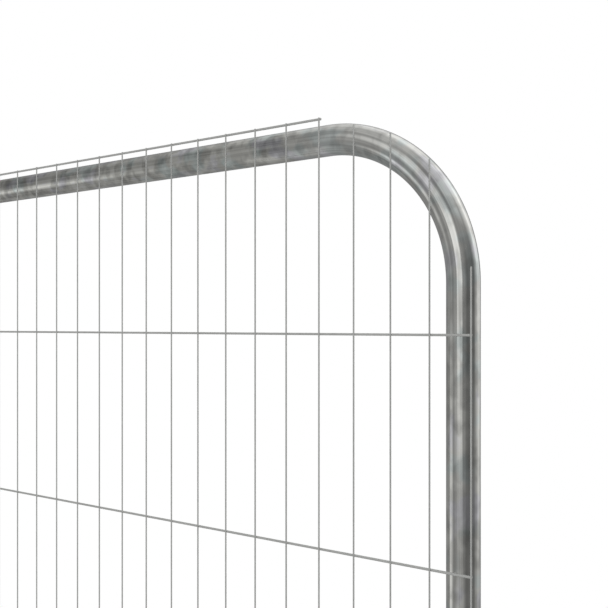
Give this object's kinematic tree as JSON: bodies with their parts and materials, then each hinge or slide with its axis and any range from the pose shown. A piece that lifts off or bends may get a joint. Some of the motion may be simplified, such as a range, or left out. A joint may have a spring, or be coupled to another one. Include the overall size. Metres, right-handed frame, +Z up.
{
  "type": "anti-climb mesh fence panel",
  "caption": "Round-top site fence panel: bent galvanised tube hoop with a bottom rail, straight legs and a close welded wire mesh on its front.",
  "frame": {"origin": "centre of the left leg's lower end face", "axes": "+X along the panel from the left post to the right post, +Z up along the posts, the mesh on the -Y side"},
  "size_m": [3.5018, 0.0424, 2.005],
  "materials": {
    "galvanised_tube": "hot-dip galvanised, cloudy grey with soft spangle and lengthwise streaks",
    "galvanised_wire": "galvanised wire, dull grey"
  },
  "bodies": {
    "root": {"left_post": "galvanised_tube", "right_post": "galvanised_tube", "top_rail": "galvanised_tube", "bottom_rail": "galvanised_tube", "mesh_left": "galvanised_wire", "mesh_middle": "galvanised_wire", "mesh_right": "galvanised_wire"}
  },
  "joints": []
}
